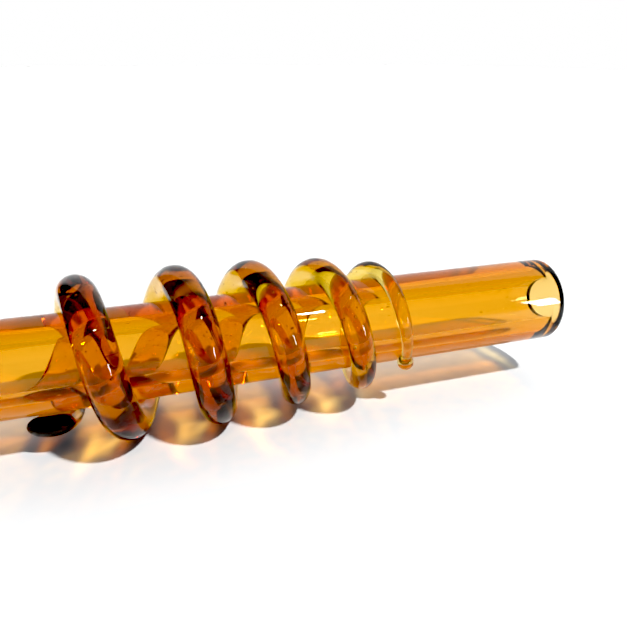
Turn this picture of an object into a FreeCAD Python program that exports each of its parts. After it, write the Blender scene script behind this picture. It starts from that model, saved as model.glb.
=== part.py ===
import FreeCAD, Part
import math
import os
from FreeCAD import Vector

# A glass dip pen, lampworked from heavy-walled tubing. All lengths are in millimetres.
# The pen lies along X: the open tail is at +X, the nib's tip at -X, and +Z is up.
# The origin is on the pen's axis where the bore's straight wall ends inside the tail's rounded rim.

# Barrel: a thick-walled tube whose tail is open and whose front end takes the nib's shank
BARREL_RADIUS = 6.0
BORE_RADIUS = 3.0
RIM_ROUND = 0.9
MOUTH_ROUND = 1.0
BARREL_FRONT_X = -130.0
SOCKET_RADIUS = 3.8
SOCKET_DEPTH = 12.0

# Wrap: one tapering rod wound round the barrel, right-handed about +X, with its thick end at the front.
# The stations are half a turn apart. Each gives the distance from the tail's end and the rod's radius.
WRAP_STATION_DISTANCE = (70.6, 66.1, 61.3, 54.3, 50.3, 44.7, 40.1, 35.6, 30.8, 27.7, 24.5)
WRAP_STATION_RADIUS = (1.45, 2.25, 2.4, 2.25, 2.35, 2.1, 1.9, 1.8, 1.6, 1.2, 0.5)
WRAP_FIRST_TURN = 0.5
WRAP_LAST_TURN = 5.42
WRAP_TOP_ANGLE = -21.8
# Height of the rod's centre over the barrel's surface, in rod radii: under 1, because the glass is fused
WRAP_SEAT = 0.95
# The thick end is pressed flat: its width over its height, and the turns in which the rod becomes round
WRAP_END_SPREAD = 2.0
WRAP_END_SPREAD_TURNS = 0.35
END_ROUNDING_ANGLES = (75, 50, 25)
RINGS_PER_TURN = 48
RING_POLES = 24

# Bead: the drop of glass that closes the thin end of the wrap
BEAD_RADIUS = 1.1
BEAD_SEAT = 0.8

# Collar: a ring of glass round the front of the barrel, as tall as the wrap so that the pen lies level
COLLAR_RADIUS = 10.6
COLLAR_WIDTH = 7.0
COLLAR_CENTRE_X = -125.0

# Nib: a shank, a shoulder on the barrel's front end, a waist, and a twisted fluted cone
NIB_LENGTH = 39.0
NIB_FLUTES = 10
NIB_FLUTE_TWIST = 150.0
NIB_FLUTE_DEPTH = 0.16
NIB_FLUTE_START = 9.0
NIB_FLUTE_RUN_IN = 6.0
NIB_PROFILE_DISTANCE = (0.0, 3.0, 6.5, 10.0, 13.5, 17.0, 21.5, 26.0, 30.5, 34.5, 37.3, 39.0)
NIB_PROFILE_RADIUS = (5.6, 4.4, 3.0, 2.7, 3.6, 4.25, 4.1, 3.4, 2.5, 1.6, 0.85, 0.45)
NIB_RING_STEP = 0.8
POLES_PER_FLUTE = 6

AXIS = Vector(1, 0, 0)
BARREL_FRONT = Vector(BARREL_FRONT_X, 0, 0)
TAIL_END_X = MOUTH_ROUND


def between(stations, position):
    """Smooth value at a position counted in station steps, passing through every station."""
    index = min(max(int(math.floor(position)), 0), len(stations) - 2)
    f = position - index
    here = stations[index]
    following = stations[index + 1]
    before = stations[index - 1] if index > 0 else 2 * here - following
    after = stations[index + 2] if index + 2 < len(stations) else 2 * following - here
    slope_in = (following - before) / 2
    slope_out = (after - here) / 2
    rise = following - here
    return here + f * slope_in + f * f * (3 * rise - 2 * slope_in - slope_out) + f ** 3 * (
        slope_in + slope_out - 2 * rise)


def ring(centre, first, second, radii):
    """Poles round a centre, from the first direction towards the second, one for each radius."""
    poles = []
    for k, radius in enumerate(radii):
        angle = 2 * math.pi * k / len(radii)
        poles.append(centre + first * (radius * math.cos(angle)) + second * (radius * math.sin(angle)))
    return poles


def skin_face(rings):
    """One smooth face over a row of closed rings of poles."""
    around = len(rings[0])
    spans = len(rings) - 3
    surface = Part.BSplineSurface()
    surface.buildFromPolesMultsKnots(
        rings,
        [4] + [1] * (spans - 1) + [4],
        [1] * (around + 1),
        list(range(spans + 1)),
        list(range(around + 1)),
        False,
        True,
        3,
        3,
    )
    return surface.toShape()


def capped_solid(rings):
    """A solid between the two flat ends of a skin."""
    faces = [skin_face(rings)]
    for closed in (rings[0], rings[-1]):
        edge = Part.BSplineCurve()
        edge.buildFromPolesMultsKnots(closed, [1] * (len(closed) + 1), list(range(len(closed) + 1)), True, 3)
        faces.append(Part.Face(Part.Wire(edge.toShape())))
    shell = Part.makeShell(faces)
    shell.sewShape()
    solid = Part.Solid(shell)
    if solid.Volume < 0:
        solid.reverse()
    return solid


def wrap_point(turn, height):
    """A point beside the barrel at a turn of the wrap and a height over the axis."""
    station = (turn - WRAP_FIRST_TURN) * 2
    angle = math.radians(360 * turn + WRAP_TOP_ANGLE)
    x = TAIL_END_X - between(WRAP_STATION_DISTANCE, station)
    return Vector(x, -height * math.sin(angle), height * math.cos(angle))


def wrap_radius(turn):
    return between(WRAP_STATION_RADIUS, (turn - WRAP_FIRST_TURN) * 2)


def wrap_spread(turn):
    """Width of the rod along the barrel over its height: more than 1 only near the thick end."""
    f = min(max((turn - WRAP_FIRST_TURN) / WRAP_END_SPREAD_TURNS, 0.0), 1.0)
    return 1 + (WRAP_END_SPREAD - 1) * (1 - f) ** 2 * (1 + 2 * f)


def wrap_centre(turn):
    return wrap_point(turn, BARREL_RADIUS + WRAP_SEAT * wrap_radius(turn))


def wrap_directions(turn):
    """The rod's direction at a turn, and two directions across it."""
    step = 0.002
    forward = (wrap_centre(turn + step) - wrap_centre(turn - step)).normalize()
    outward = wrap_point(turn, 1.0)
    outward.x = 0
    side = forward.cross(outward).normalize()
    return forward, side.cross(forward), side


def wrap_ring(turn, past_end, scale):
    """A ring of the rod, moved past an end of the rod and scaled to round that end off."""
    forward, outward, side = wrap_directions(turn)
    centre = wrap_centre(turn) + forward * past_end
    return ring(centre, outward, side * wrap_spread(turn), [wrap_radius(turn) * scale] * RING_POLES)


def make_barrel_tube():
    """A tube with a shallow socket in its front end and a fire-polished rim at its tail."""
    length = TAIL_END_X - BARREL_FRONT_X
    blank = Part.makeCylinder(BARREL_RADIUS, length, BARREL_FRONT, AXIS)
    bore = Part.makeCylinder(BORE_RADIUS, length, BARREL_FRONT, AXIS)
    socket = Part.makeCylinder(SOCKET_RADIUS, SOCKET_DEPTH, BARREL_FRONT, AXIS)
    tube = blank.cut(bore).cut(socket)
    tail_edges = [edge for edge in tube.Edges if edge.BoundBox.XMin > TAIL_END_X - 0.01]
    mouth_edge, rim_edge = sorted(tail_edges, key=lambda edge: edge.Length)
    return tube.makeFillet(RIM_ROUND, [rim_edge]).makeFillet(MOUTH_ROUND, [mouth_edge])


def make_coil_wrap():
    """The whole rod, from its rounded thick end to the thin end inside the bead."""
    rings = []
    end_radius = wrap_radius(WRAP_FIRST_TURN)
    for degrees in END_ROUNDING_ANGLES:
        angle = math.radians(degrees)
        rings.append(wrap_ring(WRAP_FIRST_TURN, -end_radius * math.sin(angle), math.cos(angle)))
    count = int(RINGS_PER_TURN * (WRAP_LAST_TURN - WRAP_FIRST_TURN))
    for k in range(count + 1):
        turn = WRAP_FIRST_TURN + (WRAP_LAST_TURN - WRAP_FIRST_TURN) * k / count
        rings.append(wrap_ring(turn, 0.0, 1.0))
    return capped_solid(rings)


def make_coil_end_bead():
    centre = wrap_point(WRAP_LAST_TURN, BARREL_RADIUS + BEAD_SEAT * BEAD_RADIUS)
    return Part.makeSphere(BEAD_RADIUS, centre)


def make_nib_collar():
    """A rounded ring on the barrel: a half ellipse turned about the axis."""
    height = COLLAR_RADIUS - BARREL_RADIUS
    half_width = COLLAR_WIDTH / 2
    centre = Vector(COLLAR_CENTRE_X, 0, BARREL_RADIUS)
    left = centre - Vector(half_width, 0, 0)
    right = centre + Vector(half_width, 0, 0)
    outline = Part.Ellipse(centre + Vector(0, 0, height), left, centre)
    crown = Part.ArcOfEllipse(outline, -math.pi / 2, math.pi / 2)
    profile = Part.Wire([crown.toShape(), Part.makeLine(left, right)])
    return Part.Face(profile).revolve(Vector(0, 0, 0), AXIS, 360)


def nib_radius(distance):
    """Radius of the nib's outline at a distance in front of the barrel."""
    index = 0
    while index < len(NIB_PROFILE_DISTANCE) - 2 and distance > NIB_PROFILE_DISTANCE[index + 1]:
        index += 1
    span = NIB_PROFILE_DISTANCE[index + 1] - NIB_PROFILE_DISTANCE[index]
    return between(NIB_PROFILE_RADIUS, index + (distance - NIB_PROFILE_DISTANCE[index]) / span)


def nib_ring(distance):
    """A ring of the nib, with its flutes growing deeper from the waist towards the tip."""
    growth = min(max((distance - NIB_FLUTE_START) / NIB_FLUTE_RUN_IN, 0.0), 1.0)
    twist = math.radians(NIB_FLUTE_TWIST) * distance / NIB_LENGTH
    radii = []
    for k in range(NIB_FLUTES * POLES_PER_FLUTE):
        angle = 2 * math.pi * k / (NIB_FLUTES * POLES_PER_FLUTE)
        dip = 0.5 - 0.5 * math.cos(NIB_FLUTES * (angle - twist))
        radii.append(nib_radius(distance) * (1 - NIB_FLUTE_DEPTH * growth * dip))
    return ring(Vector(BARREL_FRONT_X - distance, 0, 0), Vector(0, 0, 1), Vector(0, 1, 0), radii)


def make_nib():
    count = int(NIB_LENGTH / NIB_RING_STEP)
    rings = [nib_ring(NIB_LENGTH * k / count) for k in range(count + 1)]
    cone = capped_solid(rings)
    shank = Part.makeCylinder(SOCKET_RADIUS, SOCKET_DEPTH, BARREL_FRONT, AXIS)
    return cone.fuse(shank)


os.makedirs("parts", exist_ok=True)
nodes = {
    "barrel_tube": make_barrel_tube,
    "coil_wrap": make_coil_wrap,
    "coil_end_bead": make_coil_end_bead,
    "nib_collar": make_nib_collar,
    "nib": make_nib,
}
for name, make in nodes.items():
    shape = make()
    shape.exportStep(os.path.join("parts", name + ".step"))
    print(name, "valid", shape.isValid(), "solids", len(shape.Solids), "volume", round(shape.Volume, 1))
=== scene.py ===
import math
import random

import bmesh
import bpy
import numpy as np
from mathutils import Matrix, Vector
from mathutils.bvhtree import BVHTree
from mathutils.interpolate import poly_3d_calc


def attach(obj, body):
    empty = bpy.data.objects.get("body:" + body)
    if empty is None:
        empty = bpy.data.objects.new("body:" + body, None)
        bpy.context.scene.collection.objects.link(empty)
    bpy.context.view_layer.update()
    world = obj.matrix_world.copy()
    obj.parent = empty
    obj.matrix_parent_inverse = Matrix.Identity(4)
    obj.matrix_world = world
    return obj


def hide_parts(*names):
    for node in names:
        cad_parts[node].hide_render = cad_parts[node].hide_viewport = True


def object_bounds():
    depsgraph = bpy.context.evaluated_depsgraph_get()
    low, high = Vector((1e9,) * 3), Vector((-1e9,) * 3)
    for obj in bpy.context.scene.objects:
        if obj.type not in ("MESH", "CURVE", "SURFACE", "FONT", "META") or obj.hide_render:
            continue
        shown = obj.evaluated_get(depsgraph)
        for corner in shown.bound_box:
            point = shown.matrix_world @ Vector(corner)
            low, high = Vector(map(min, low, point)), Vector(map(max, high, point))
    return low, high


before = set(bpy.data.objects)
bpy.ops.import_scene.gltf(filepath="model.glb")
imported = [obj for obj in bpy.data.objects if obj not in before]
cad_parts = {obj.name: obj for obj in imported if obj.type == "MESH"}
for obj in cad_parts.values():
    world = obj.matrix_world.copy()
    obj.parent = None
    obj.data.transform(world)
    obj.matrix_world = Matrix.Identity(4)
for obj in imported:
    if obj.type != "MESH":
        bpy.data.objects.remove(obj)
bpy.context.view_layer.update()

MM = 0.001

# The CAD model's own dimensions, in millimetres, in its own frame
BARREL_RADIUS = 6.0
BORE_RADIUS = 3.0
RIM_ROUND = 0.9
MOUTH_ROUND = 1.0
BARREL_FRONT_X = -130.0
SOCKET_RADIUS = 3.8
SOCKET_DEPTH = 12.0
TAIL_END_X = MOUTH_ROUND

WRAP_STATION_DISTANCE = (70.6, 66.1, 61.3, 54.3, 50.3, 44.7, 40.1, 35.6, 30.8, 27.7, 24.5)
WRAP_STATION_RADIUS = (1.45, 2.25, 2.4, 2.25, 2.35, 2.1, 1.9, 1.8, 1.6, 1.2, 0.5)
WRAP_FIRST_TURN = 0.5
WRAP_LAST_TURN = 5.42
WRAP_TOP_ANGLE = -21.8
WRAP_SEAT = 0.95
WRAP_END_SPREAD = 2.0
WRAP_END_SPREAD_TURNS = 0.35

BEAD_RADIUS = 1.1
BEAD_SEAT = 0.8

COLLAR_RADIUS = 10.6
COLLAR_WIDTH = 7.0
COLLAR_CENTRE_X = -125.0

NIB_LENGTH = 39.0
NIB_FLUTES = 10
NIB_FLUTE_TWIST = 150.0
NIB_FLUTE_DEPTH = 0.16
NIB_FLUTE_START = 9.0
NIB_FLUTE_RUN_IN = 6.0
NIB_PROFILE_DISTANCE = (0.0, 3.0, 6.5, 10.0, 13.5, 17.0, 21.5, 26.0, 30.5, 34.5, 37.3, 39.0)
NIB_PROFILE_RADIUS = (5.6, 4.4, 3.0, 2.7, 3.6, 4.25, 4.1, 3.4, 2.5, 1.6, 0.85, 0.45)

# Bubbles left in the glass
BARREL_SEEDS = 90
WRAP_SEEDS = 300

# Fused pieces reach this far into each other, so that light passes from one to the next
FUSE = 0.03
# How far in millimetres the barrel's front edge is rounded, and how far the socket's corners are
FRONT_ROUND = 0.35
SOCKET_ROUND = 0.05

# From here on in metres: the height of the floor
FLOOR_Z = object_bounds()[0][2]

# Glass
GLASS_INDEX = 1.48
# How much red, green and blue the amber tubing absorbs, per metre, and how much the deeper amber rod does
AMBER_ABSORPTION = (28.0, 142.0, 480.0)
ROD_ABSORPTION = (58.0, 160.0, 700.0)
# A high density with a pale colour, so that viewers that read them as powers or as differences agree
ABSORPTION_DENSITY = 6000.0
# Lines along the way the glass was drawn: how many per radian, how many per millimetre along, and how deep
LINES_AROUND = 5.0
LINES_ALONG = 0.03
LINES_DEPTH = 0.000004

# Paper
PAPER_LEVEL = 0.86
PAPER_ROUGHNESS = 0.9
PAPER_SPECULAR = 0.1
# The part of it round the pen, which is divided finely to hold the light that comes through the glass
PATCH_LOW = Vector((-0.188, -0.016))
PATCH_HIGH = Vector((0.012, 0.028))
PATCH_STEP = 0.0004
# The rest of it, which leaves out the back left, so that the glass sees the dark room there
SHEET_CORNERS = ((-0.45, -0.35), (1.5, -0.35), (1.5, 3.0), (-0.5, 3.0), (-0.097, PATCH_HIGH.y), (-0.45, PATCH_HIGH.y))

# Lamps: the directions towards them, their widths and their strengths
KEY_DIRECTION = Vector((0.354, -0.390, 0.850)).normalized()
KEY_DEGREES = 3.0
KEY_STRENGTH = 2.9
# An estimate of what reflections inside the glass add on the floor, because the rays below don't follow them
REFLECTED_ON = 1.35
GLINT_DIRECTION = Vector((0.29, -0.41, 0.866))
GLINT_DEGREES = 4.0
GLINT_STRENGTH = 1.0
FILL_DIRECTION = Vector((0.2, 0.3, 1.0))
FILL_DEGREES = 110.0
FILL_STRENGTH = 1.0
WINDOW_LAMP_WIDTH = 0.095
WINDOW_LAMP_HEIGHT = 0.25
WINDOW_LAMP_COLOUR = (0.7, 0.83, 1.0)
WINDOW_LAMP_POWER = 2.5
WINDOW_LAMP_AZIMUTH = 141
WINDOW_LAMP_ELEVATION = 9.5

# Room: the middle of its bright side, where that fades out and where it is full, and the two levels
WINDOW_DIRECTION = Vector((0.53, 0.85, 0.25))
WINDOW_EDGE_DEGREES = 62
WINDOW_FULL_DEGREES = 52
WINDOW_LEVEL = 0.95
DARK_ROOM = 0.06

# Rays followed from the key: their spacing, the height and strip they start from, and when one is given up
RAY_STEP = 0.00013
RAY_TOP = 0.012
RAY_LOW_Y = -0.012
RAY_SPAN_Y = 0.026
RAY_SURFACES = 24
RAY_PAST_SURFACE = 1e-6
RAY_FLATTEST = -0.05

# Contrast of the picture: reflections weaker than this come out black
BLACK_LEVEL = 0.045
LIGHT_BOUNCES = 32

# Camera: its lens, then its place and its directions to the right and up
CAMERA_SENSOR = 36.0
CAMERA_LENS = 35.29
CAMERA_NEAREST = 0.001
CAMERA_PLACE = Vector((-59.13, -72.60, 34.27)) * MM
CAMERA_RIGHT = Vector((0.95083, -0.30971, 0.00021))
CAMERA_UP = Vector((0.11979, 0.36840, 0.92192))


# ---------------------------------------------------------------- meshes

def between(stations, position):
    """Smooth value at a position counted in station steps, passing through every station."""
    index = min(max(int(math.floor(position)), 0), len(stations) - 2)
    f = position - index
    here = stations[index]
    following = stations[index + 1]
    before = stations[index - 1] if index > 0 else 2 * here - following
    after = stations[index + 2] if index + 2 < len(stations) else 2 * following - here
    slope_in = (following - before) / 2
    slope_out = (after - here) / 2
    rise = following - here
    return here + f * slope_in + f * f * (3 * rise - 2 * slope_in - slope_out) + f ** 3 * (
        slope_in + slope_out - 2 * rise)


def piece_from_rings(name, rings, joined=False):
    """A closed mesh over a row of rings. The row joins end to start, or each end closes in a point.

    Its attribute "drawn" runs round the rings in its first two numbers and along the row, in millimetres, in its
    third, for the fine lines that the glass gets when it is drawn out.
    """
    around = len(rings[0])
    drawn = []
    along = 0.0
    for i, one in enumerate(rings):
        along += (one[0] - rings[i - 1][0]).length if i else 0.0
        for k in range(around):
            angle = 2 * math.pi * k / around
            drawn.append((math.cos(angle), math.sin(angle), along))
    points = [point * MM for one in rings for point in one]
    faces = []
    rows = len(rings) if joined else len(rings) - 1
    for i in range(rows):
        low = i * around
        high = ((i + 1) % len(rings)) * around
        for k in range(around):
            k2 = (k + 1) % around
            faces.append((low + k, low + k2, high + k2, high + k))
    if not joined:
        for one, start, turned in ((rings[0], 0, True), (rings[-1], (len(rings) - 1) * around, False)):
            centre = sum(one, Vector()) / around
            points.append(centre * MM)
            tip = len(points) - 1
            drawn.append((0.0, 0.0, drawn[start][2]))
            for k in range(around):
                k2 = (k + 1) % around
                faces.append((start + k2, start + k, tip) if turned else (start + k, start + k2, tip))
    mesh = bpy.data.meshes.new(name)
    mesh.from_pydata([tuple(p) for p in points], [], faces)
    skin = bmesh.new()
    skin.from_mesh(mesh)
    bmesh.ops.recalc_face_normals(skin, faces=skin.faces)
    skin.to_mesh(mesh)
    skin.free()
    drawn_lines = mesh.attributes.new("drawn", "FLOAT_VECTOR", "POINT")
    drawn_lines.data.foreach_set("vector", [number for three in drawn for number in three])
    mesh.shade_smooth()
    obj = bpy.data.objects.new(name, mesh)
    bpy.context.scene.collection.objects.link(obj)
    return obj


def add_seeds(obj, seeds):
    """Seed bubbles: small closed cavities in a piece, each with a centre, a long direction, a length and a width."""
    skin = bmesh.new()
    skin.from_mesh(obj.data)
    for centre, direction, length, width in seeds:
        place = Matrix.Translation(centre * MM) @ direction.to_track_quat("Z", "Y").to_matrix().to_4x4()
        shape = Matrix.Diagonal((width / 2 * MM, width / 2 * MM, length / 2 * MM, 1))
        made = bmesh.ops.create_icosphere(skin, subdivisions=2, radius=1.0, matrix=place @ shape)
        faces = {face for vertex in made["verts"] for face in vertex.link_faces}
        bmesh.ops.reverse_faces(skin, faces=list(faces))
        for face in faces:
            face.smooth = True
    skin.to_mesh(obj.data)
    skin.free()


def turned_ring(x, radius, around):
    """A ring about the pen's axis."""
    points = []
    for k in range(around):
        angle = 2 * math.pi * k / around
        points.append(Vector((x, radius * math.sin(angle), radius * math.cos(angle))))
    return points


def quarter(x, radius, dx, dr, start, end, steps):
    """Profile points (x, radius) on an ellipse's arc, angles in degrees from +X towards +radius."""
    points = []
    for k in range(steps + 1):
        angle = math.radians(start + (end - start) * k / steps)
        points.append((x + dx * math.cos(angle), radius + dr * math.sin(angle)))
    return points


def barrel_tube():
    """The tube's skin in one closed loop: outside, rounded tail rim, bore, socket, front edge."""
    profile = quarter(BARREL_FRONT_X + FRONT_ROUND, BARREL_RADIUS - FRONT_ROUND, FRONT_ROUND, FRONT_ROUND, 180, 90, 6)
    profile += [(BARREL_FRONT_X + 2 + 4 * k, BARREL_RADIUS) for k in range(32)]
    profile += quarter(TAIL_END_X - RIM_ROUND, BARREL_RADIUS - RIM_ROUND, RIM_ROUND, RIM_ROUND, 90, 0, 12)
    profile += quarter(TAIL_END_X - MOUTH_ROUND, BORE_RADIUS + MOUTH_ROUND, MOUTH_ROUND, MOUTH_ROUND, 0, -90, 16)
    socket_x = BARREL_FRONT_X + SOCKET_DEPTH
    profile += [(-3 - 4 * k, BORE_RADIUS) for k in range(28)]
    profile += [(socket_x + 0.3, BORE_RADIUS), (socket_x, BORE_RADIUS + SOCKET_ROUND)]
    profile += [(socket_x, SOCKET_RADIUS - SOCKET_ROUND), (socket_x - SOCKET_ROUND, SOCKET_RADIUS)]
    profile += [(BARREL_FRONT_X + SOCKET_ROUND, SOCKET_RADIUS), (BARREL_FRONT_X, SOCKET_RADIUS + SOCKET_ROUND)]
    rings = [turned_ring(x, radius, 160) for x, radius in profile]
    tube = piece_from_rings("barrel_tube_glass", rings, joined=True)
    chance = random.Random(11)
    seeds = []
    for _ in range(BARREL_SEEDS):
        angle = 2 * math.pi * chance.random()
        radius = chance.uniform(BORE_RADIUS + 0.4, BARREL_RADIUS - 0.3)
        x = chance.uniform(BARREL_FRONT_X + SOCKET_DEPTH, -2)
        width = chance.uniform(0.07, 0.13)
        centre = Vector((x, radius * math.sin(angle), radius * math.cos(angle)))
        seeds.append((centre, Vector((1, 0, 0)), width * chance.uniform(2, 6), width))
    add_seeds(tube, seeds)
    return tube


def wrap_point(turn, height):
    """A point beside the barrel at a turn of the wrap and a height over the axis."""
    station = (turn - WRAP_FIRST_TURN) * 2
    angle = math.radians(360 * turn + WRAP_TOP_ANGLE)
    x = TAIL_END_X - between(WRAP_STATION_DISTANCE, station)
    return Vector((x, -height * math.sin(angle), height * math.cos(angle)))


def wrap_radius(turn):
    return between(WRAP_STATION_RADIUS, (turn - WRAP_FIRST_TURN) * 2)


def wrap_spread(turn):
    """Width of the rod along the barrel over its height: more than 1 only near the thick end."""
    f = min(max((turn - WRAP_FIRST_TURN) / WRAP_END_SPREAD_TURNS, 0.0), 1.0)
    return 1 + (WRAP_END_SPREAD - 1) * (1 - f) ** 2 * (1 + 2 * f)


def wrap_centre(turn):
    return wrap_point(turn, BARREL_RADIUS + WRAP_SEAT * wrap_radius(turn))


def wrap_ring(turn, past_end, scale, around):
    """A ring of the rod, moved past an end of the rod and scaled to round that end off."""
    step = 0.002
    forward = (wrap_centre(turn + step) - wrap_centre(turn - step)).normalized()
    outward = wrap_point(turn, 1.0)
    outward.x = 0
    side = forward.cross(outward).normalized()
    outward = side.cross(forward)
    centre = wrap_centre(turn) + forward * past_end
    radius = wrap_radius(turn) * scale
    width = radius * wrap_spread(turn)
    points = []
    for k in range(around):
        angle = 2 * math.pi * k / around
        points.append(centre + outward * (radius * math.cos(angle)) + side * (width * math.sin(angle)))
    return points


def coil_wrap():
    around = 56
    rings = []
    for k in range(10):
        angle = math.radians(86 - 86 * k / 10)
        rings.append(wrap_ring(WRAP_FIRST_TURN, -wrap_radius(WRAP_FIRST_TURN) * math.sin(angle),
                               math.cos(angle), around))
    count = 560
    for k in range(count + 1):
        turn = WRAP_FIRST_TURN + (WRAP_LAST_TURN - WRAP_FIRST_TURN) * k / count
        rings.append(wrap_ring(turn, 0.0, 1.0, around))
    coil = piece_from_rings("coil_wrap_glass", rings)
    chance = random.Random(7)
    seeds = []
    for _ in range(WRAP_SEEDS):
        turn = chance.uniform(WRAP_FIRST_TURN + 0.1, WRAP_LAST_TURN - 0.4)
        ring = wrap_ring(turn, 0.0, 0.85 * math.sqrt(chance.random()), 12)
        width = chance.uniform(0.09, 0.2)
        direction = wrap_centre(turn + 0.01) - wrap_centre(turn)
        seeds.append((ring[chance.randrange(12)], direction, width * chance.uniform(1.2, 3), width))
    add_seeds(coil, seeds)
    return coil


def coil_end_bead():
    centre = wrap_point(WRAP_LAST_TURN, BARREL_RADIUS + BEAD_SEAT * BEAD_RADIUS)
    outward = wrap_point(WRAP_LAST_TURN, 1.0)
    outward.x = 0
    outward.normalize()
    along = Vector((1, 0, 0))
    side = outward.cross(along)
    rings = []
    for i in range(1, 24):
        polar = math.pi * i / 24
        rise = BEAD_RADIUS * math.cos(polar)
        reach = BEAD_RADIUS * math.sin(polar)
        one = []
        for k in range(40):
            angle = 2 * math.pi * k / 40
            one.append(centre + outward * rise + along * (reach * math.cos(angle)) + side * (reach * math.sin(angle)))
        rings.append(one)
    return piece_from_rings("coil_end_bead_glass", rings)


def nib_collar():
    height = COLLAR_RADIUS - BARREL_RADIUS
    profile = quarter(COLLAR_CENTRE_X, BARREL_RADIUS - FUSE, COLLAR_WIDTH / 2, height + FUSE, 180, 0, 40)
    profile += [(COLLAR_CENTRE_X + COLLAR_WIDTH / 2 * f, BARREL_RADIUS - FUSE) for f in (0.6, 0.2, -0.2, -0.6)]
    rings = [turned_ring(x, radius, 160) for x, radius in profile]
    return piece_from_rings("nib_collar_glass", rings, joined=True)


def nib_radius(distance):
    """Radius of the nib's outline at a distance in front of the barrel."""
    index = 0
    while index < len(NIB_PROFILE_DISTANCE) - 2 and distance > NIB_PROFILE_DISTANCE[index + 1]:
        index += 1
    span = NIB_PROFILE_DISTANCE[index + 1] - NIB_PROFILE_DISTANCE[index]
    return between(NIB_PROFILE_RADIUS, index + (distance - NIB_PROFILE_DISTANCE[index]) / span)


def nib():
    """Shank, shoulder, waist and twisted fluted cone in one skin."""
    around = NIB_FLUTES * 24
    rings = []
    socket_x = BARREL_FRONT_X + SOCKET_DEPTH
    shank = SOCKET_RADIUS + FUSE
    for x, radius in ((socket_x + FUSE, shank * 0.5), (socket_x + FUSE, shank - SOCKET_ROUND),
                      (socket_x + FUSE - SOCKET_ROUND, shank), (socket_x - 4, shank), (socket_x - 8, shank),
                      (BARREL_FRONT_X + FUSE + SOCKET_ROUND, shank), (BARREL_FRONT_X + FUSE, shank + SOCKET_ROUND)):
        rings.append(turned_ring(x, radius, around))
    count = 150
    for i in range(count + 1):
        distance = NIB_LENGTH * i / count
        growth = min(max((distance - NIB_FLUTE_START) / NIB_FLUTE_RUN_IN, 0.0), 1.0)
        twist = math.radians(NIB_FLUTE_TWIST) * distance / NIB_LENGTH
        one = []
        for k in range(around):
            angle = 2 * math.pi * k / around
            dip = 0.5 - 0.5 * math.cos(NIB_FLUTES * (angle - twist))
            radius = nib_radius(distance) * (1 - NIB_FLUTE_DEPTH * growth * dip)
            one.append(Vector((BARREL_FRONT_X + FUSE - distance, radius * math.sin(angle), radius * math.cos(angle))))
        rings.append(one)
    return piece_from_rings("nib_glass", rings)


# ---------------------------------------------------------------- materials

def new_material(name):
    material = bpy.data.materials.new(name)
    material.use_nodes = True
    tree = material.node_tree
    tree.nodes.clear()
    return material, tree


def glass(name, absorption=AMBER_ABSORPTION):
    """Amber glass with fine lines along the way it was drawn."""
    material, tree = new_material(name)
    nodes = tree.nodes
    out = nodes.new("ShaderNodeOutputMaterial")
    shader = nodes.new("ShaderNodeBsdfPrincipled")
    shader.inputs["Base Color"].default_value = (1, 1, 1, 1)
    shader.inputs["Transmission Weight"].default_value = 1.0
    shader.inputs["Roughness"].default_value = 0.0
    shader.inputs["IOR"].default_value = GLASS_INDEX
    volume = nodes.new("ShaderNodeVolumeAbsorption")
    colour = [1 - absorbed / ABSORPTION_DENSITY for absorbed in absorption]
    volume.inputs["Color"].default_value = (*colour, 1)
    volume.inputs["Density"].default_value = ABSORPTION_DENSITY
    drawn = nodes.new("ShaderNodeAttribute")
    drawn.attribute_name = "drawn"
    stretch = nodes.new("ShaderNodeMapping")
    stretch.inputs["Scale"].default_value = (LINES_AROUND, LINES_AROUND, LINES_ALONG)
    noise = nodes.new("ShaderNodeTexNoise")
    noise.inputs["Scale"].default_value = 1.0
    noise.inputs["Detail"].default_value = 2.0
    bump = nodes.new("ShaderNodeBump")
    bump.inputs["Strength"].default_value = 1.0
    bump.inputs["Distance"].default_value = LINES_DEPTH
    tree.links.new(drawn.outputs["Vector"], stretch.inputs["Vector"])
    tree.links.new(stretch.outputs["Vector"], noise.inputs["Vector"])
    tree.links.new(noise.outputs["Fac"], bump.inputs["Height"])
    tree.links.new(bump.outputs["Normal"], shader.inputs["Normal"])
    tree.links.new(shader.outputs["BSDF"], out.inputs["Surface"])
    tree.links.new(volume.outputs["Volume"], out.inputs["Volume"])
    return material


def paper(name):
    """Plain paper that also shows the light laid on it."""
    material, tree = new_material(name)
    out = tree.nodes.new("ShaderNodeOutputMaterial")
    shader = tree.nodes.new("ShaderNodeBsdfPrincipled")
    shader.inputs["Base Color"].default_value = (PAPER_LEVEL, PAPER_LEVEL, PAPER_LEVEL, 1)
    shader.inputs["Roughness"].default_value = PAPER_ROUGHNESS
    shader.inputs["Specular IOR Level"].default_value = PAPER_SPECULAR
    light = tree.nodes.new("ShaderNodeAttribute")
    light.attribute_name = "light_through_glass"
    tree.links.new(light.outputs["Color"], shader.inputs["Emission Color"])
    shader.inputs["Emission Strength"].default_value = 1.0
    tree.links.new(shader.outputs["BSDF"], out.inputs["Surface"])
    material.cycles.emission_sampling = "NONE"
    return material


glass_pieces = []


def finish_piece(obj, node, material):
    glass_pieces.append(obj)
    obj.data.materials.clear()
    obj.data.materials.append(material)
    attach(obj, "root")
    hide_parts(node)


finish_piece(barrel_tube(), "barrel_tube", glass("barrel_amber"))
finish_piece(coil_wrap(), "coil_wrap", glass("wrap_amber", ROD_ABSORPTION))
finish_piece(coil_end_bead(), "coil_end_bead", glass("bead_amber", ROD_ABSORPTION))
finish_piece(nib_collar(), "nib_collar", glass("collar_amber"))
finish_piece(nib(), "nib", glass("nib_amber"))


# ---------------------------------------------------------------- stage, lights and camera

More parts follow.
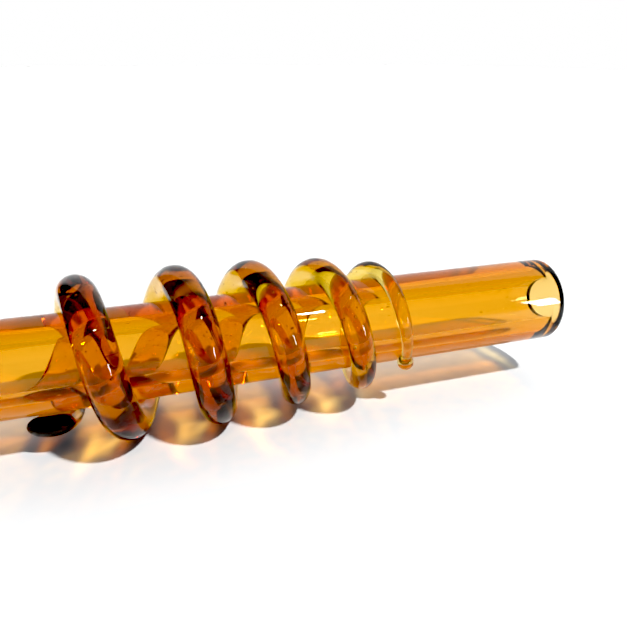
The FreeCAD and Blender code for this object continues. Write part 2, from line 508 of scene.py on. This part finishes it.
def bend(direction, normal, ratio):
    """The way light goes on at a surface whose normal faces it, and the share of it that does.

    ratio is the refractive index that it comes from over the one that it goes into.
    """
    cosine = -direction.dot(normal)
    root = 1 - ratio * ratio * (1 - cosine * cosine)
    if root <= 0:
        return direction + normal * (2 * cosine), 1.0
    beyond = math.sqrt(root)
    upright = (ratio * cosine - beyond) / (ratio * cosine + beyond)
    flat = (ratio * beyond - cosine) / (ratio * beyond + cosine)
    return direction * ratio + normal * (ratio * cosine - beyond), 1 - (upright ** 2 + flat ** 2) / 2


def glass_skins(pieces):
    """All the glass in one search tree, with its corners, faces and smooth normals."""
    corners = []
    normals = []
    faces = []
    for piece in pieces:
        first = len(corners)
        for vertex in piece.data.vertices:
            corners.append(vertex.co.copy())
            normals.append(vertex.normal.copy())
        for polygon in piece.data.polygons:
            faces.append([first + corner for corner in polygon.vertices])
    return BVHTree.FromPolygons(corners, faces), corners, faces, normals


def follow_light(skins, start, direction):
    """Follow light down to the floor: where it lands, its share and its length in glass, or None if it met none."""
    tree, corners, faces, normals = skins
    inside = 0
    share = 1.0
    in_glass = 0.0
    met = False
    for _ in range(RAY_SURFACES):
        spot, flat_normal, face, distance = tree.ray_cast(start, direction)
        if spot is None:
            break
        met = True
        if inside > 0:
            in_glass += distance
        around = faces[face]
        weights = poly_3d_calc([corners[corner] for corner in around], spot)
        normal = Vector()
        for corner, weight in zip(around, weights):
            normal += normals[corner] * weight
        normal.normalize()
        entering = flat_normal.dot(direction) < 0
        after = max(inside + (1 if entering else -1), 0)
        if (inside > 0) != (after > 0):
            facing = normal if entering else -normal
            if facing.dot(direction) < 0:
                bent, passed = bend(direction, facing, 1 / GLASS_INDEX if entering else GLASS_INDEX)
                if bent.dot(facing) > 0:
                    after = inside
                direction = bent.normalized()
                share *= passed
        inside = after
        start = spot + direction * RAY_PAST_SURFACE
    if not met or inside > 0 or direction.z > RAY_FLATTEST:
        return None
    landing = start + direction * ((FLOOR_Z - start.z) / direction.z)
    return landing, share, in_glass


def patch_size():
    """How many corners the patch has along X, and how many along Y."""
    columns = round((PATCH_HIGH.x - PATCH_LOW.x) / PATCH_STEP) + 1
    rows = round((PATCH_HIGH.y - PATCH_LOW.y) / PATCH_STEP) + 1
    return columns, rows


def light_through_glass(pieces):
    """Light that the key sends through the glass to each corner of the patch, next to what it sends past it."""
    columns, rows = patch_size()
    light = np.zeros((rows, columns, 3))
    skins = glass_skins(pieces)
    chance = random.Random(4)
    shift = KEY_DIRECTION * ((RAY_TOP - FLOOR_Z) / KEY_DIRECTION.z)
    spread = math.tan(math.radians(KEY_DEGREES / 2))
    across = KEY_DIRECTION.orthogonal().normalized()
    beside = KEY_DIRECTION.cross(across)
    for i in range(round((PATCH_HIGH.x - PATCH_LOW.x) / RAY_STEP)):
        for j in range(round(RAY_SPAN_Y / RAY_STEP)):
            x = PATCH_LOW.x + shift.x + (i + chance.random()) * RAY_STEP
            y = RAY_LOW_Y + shift.y * 0.5 + (j + chance.random()) * RAY_STEP
            angle = 2 * math.pi * chance.random()
            tilt = spread * math.sqrt(chance.random())
            direction = across * (tilt * math.cos(angle)) + beside * (tilt * math.sin(angle)) - KEY_DIRECTION
            landed = follow_light(skins, Vector((x, y, RAY_TOP)), direction.normalized())
            if landed is None:
                continue
            spot, share, in_glass = landed
            column = (spot.x - PATCH_LOW.x) / PATCH_STEP
            row = (spot.y - PATCH_LOW.y) / PATCH_STEP
            if not (0 <= column < columns - 1 and 0 <= row < rows - 1):
                continue
            colour = share * np.exp(-in_glass * np.array(AMBER_ABSORPTION)) * (RAY_STEP / PATCH_STEP) ** 2
            c, r = int(column), int(row)
            fc, fr = column - c, row - r
            light[r, c] += colour * (1 - fc) * (1 - fr)
            light[r, c + 1] += colour * fc * (1 - fr)
            light[r + 1, c] += colour * (1 - fc) * fr
            light[r + 1, c + 1] += colour * fc * fr
    # A slight blur both ways takes the grain out
    for axis in (0, 1):
        near = np.roll(light, 1, axis) + np.roll(light, -1, axis)
        far = np.roll(light, 2, axis) + np.roll(light, -2, axis)
        light = (6 * light + 4 * near + far) / 16
    return light


def paper_sheet(pieces):
    """The pale floor: one flat sheet, fine round the pen, with the key's light through the glass laid on it."""
    columns, rows = patch_size()
    points = []
    faces = []
    for r in range(rows):
        for c in range(columns):
            points.append((PATCH_LOW.x + c * PATCH_STEP, PATCH_LOW.y + r * PATCH_STEP, FLOOR_Z))
    for r in range(rows - 1):
        for c in range(columns - 1):
            low = r * columns + c
            faces.append((low, low + 1, low + columns + 1, low + columns))
    front_left, front_right = 0, columns - 1
    back_left, back_right = (rows - 1) * columns, rows * columns - 1
    outer = len(points)
    for x, y in SHEET_CORNERS:
        points.append((x, y, FLOOR_Z))
    faces.append((outer, outer + 1, front_right, front_left))
    faces.append((outer + 1, outer + 2, back_right, front_right))
    faces.append((outer + 2, outer + 3, outer + 4, back_right))
    faces.append((outer, front_left, back_left, outer + 5))
    mesh = bpy.data.meshes.new("paper_sheet")
    mesh.from_pydata(points, [], faces)
    light = np.zeros((len(points), 4))
    light[:, 3] = 1
    level = PAPER_LEVEL / math.pi * KEY_STRENGTH * KEY_DIRECTION.z * REFLECTED_ON
    light[:rows * columns, :3] = light_through_glass(pieces).reshape(-1, 3) * level
    mesh.attributes.new("light_through_glass", "FLOAT_COLOR", "POINT").data.foreach_set("color", light.ravel())
    obj = bpy.data.objects.new("paper_sheet", mesh)
    bpy.context.scene.collection.objects.link(obj)
    mesh.materials.append(paper("paper"))
    return obj


floor = paper_sheet(glass_pieces)

scene = bpy.context.scene
scene.view_settings.view_transform = "Standard"
scene.view_settings.use_curve_mapping = True
scene.view_settings.curve_mapping.black_level = (BLACK_LEVEL, BLACK_LEVEL, BLACK_LEVEL)
scene.view_settings.curve_mapping.update()
scene.cycles.max_bounces = LIGHT_BOUNCES
scene.cycles.transmission_bounces = LIGHT_BOUNCES
scene.cycles.blur_glossy = 0.0
scene.cycles.sample_clamp_indirect = 0.0
# The key's light through the glass lies on the paper already
scene.cycles.caustics_reflective = False
scene.cycles.caustics_refractive = False


def lobe(tree, direction, centre, start_degrees, full_degrees, dark, bright):
    """A soft-edged patch of the surroundings: full inside one angle from its centre, none outside another."""
    towards = tree.nodes.new("ShaderNodeVectorMath")
    towards.operation = "DOT_PRODUCT"
    towards.inputs[1].default_value = centre.normalized()
    ramp = tree.nodes.new("ShaderNodeMapRange")
    ramp.interpolation_type = "SMOOTHSTEP"
    ramp.inputs["From Min"].default_value = math.cos(math.radians(start_degrees))
    ramp.inputs["From Max"].default_value = math.cos(math.radians(full_degrees))
    ramp.inputs["To Min"].default_value = dark
    ramp.inputs["To Max"].default_value = bright
    tree.links.new(direction, towards.inputs[0])
    tree.links.new(towards.outputs["Value"], ramp.inputs["Value"])
    return ramp.outputs["Result"]


def studio_world():
    """A room that is white behind and to the right of the pen and dark elsewhere, against a white background."""
    world = bpy.data.worlds.new("studio")
    scene.world = world
    world.use_nodes = True
    tree = world.node_tree
    background = tree.nodes["Background"]
    direction = tree.nodes.new("ShaderNodeTexCoord").outputs["Generated"]
    window = lobe(tree, direction, WINDOW_DIRECTION, WINDOW_EDGE_DEGREES, WINDOW_FULL_DEGREES, DARK_ROOM, WINDOW_LEVEL)
    path = tree.nodes.new("ShaderNodeLightPath")
    seen = tree.nodes.new("ShaderNodeMath")
    seen.operation = "MAXIMUM"
    tree.links.new(window, seen.inputs[0])
    tree.links.new(path.outputs["Is Camera Ray"], seen.inputs[1])
    tree.links.new(seen.outputs[0], background.inputs["Color"])


def sun(name, direction, degrees, strength):
    data = bpy.data.lights.new(name, "SUN")
    data.angle = math.radians(degrees)
    data.energy = strength
    lamp = bpy.data.objects.new(name, data)
    scene.collection.objects.link(lamp)
    lamp.rotation_euler = direction.to_track_quat("Z", "Y").to_euler()
    return lamp


def receivers(lamp, name, pieces):
    """Let a lamp light only some pieces."""
    chosen = bpy.data.collections.new(name)
    for piece in pieces:
        chosen.objects.link(piece)
    lamp.light_linking.receiver_collection = chosen


def window_lamp():
    """A small tall window low in front on the right, which stands in the glass as bluish white streaks."""
    data = bpy.data.lights.new("window", "AREA")
    data.shape = "RECTANGLE"
    data.size = WINDOW_LAMP_WIDTH
    data.size_y = WINDOW_LAMP_HEIGHT
    data.color = WINDOW_LAMP_COLOUR
    data.energy = WINDOW_LAMP_POWER
    lamp = bpy.data.objects.new("window", data)
    scene.collection.objects.link(lamp)
    azimuth, elevation = math.radians(WINDOW_LAMP_AZIMUTH), math.radians(WINDOW_LAMP_ELEVATION)
    towards = Vector((math.sin(azimuth) * math.cos(elevation), math.cos(azimuth) * math.cos(elevation),
                      math.sin(elevation)))
    lamp.location = towards
    lamp.rotation_euler = towards.to_track_quat("Z", "Y").to_euler()


studio_world()

key = sun("key", KEY_DIRECTION, KEY_DEGREES, KEY_STRENGTH)
receivers(key, "key_receivers", [floor])

# The same lamp as the glass mirrors it, a little further round because it stands near
glint = sun("glint", GLINT_DIRECTION, GLINT_DEGREES, GLINT_STRENGTH)
receivers(glint, "glint_receivers", glass_pieces)

# Soft light from above that only the paper receives, so that the glass keeps its dark reflections
fill = sun("fill", FILL_DIRECTION, FILL_DEGREES, FILL_STRENGTH)
receivers(fill, "fill_receivers", [floor])

window_lamp()

camera_data = bpy.data.cameras.new("camera")
camera_data.sensor_width = CAMERA_SENSOR
camera_data.lens = CAMERA_LENS
camera_data.clip_start = CAMERA_NEAREST
camera = bpy.data.objects.new("camera", camera_data)
scene.collection.objects.link(camera)
turn = Matrix((CAMERA_RIGHT, CAMERA_UP, CAMERA_RIGHT.cross(CAMERA_UP))).transposed().to_4x4()
camera.matrix_world = Matrix.Translation(CAMERA_PLACE) @ turn
scene.camera = camera
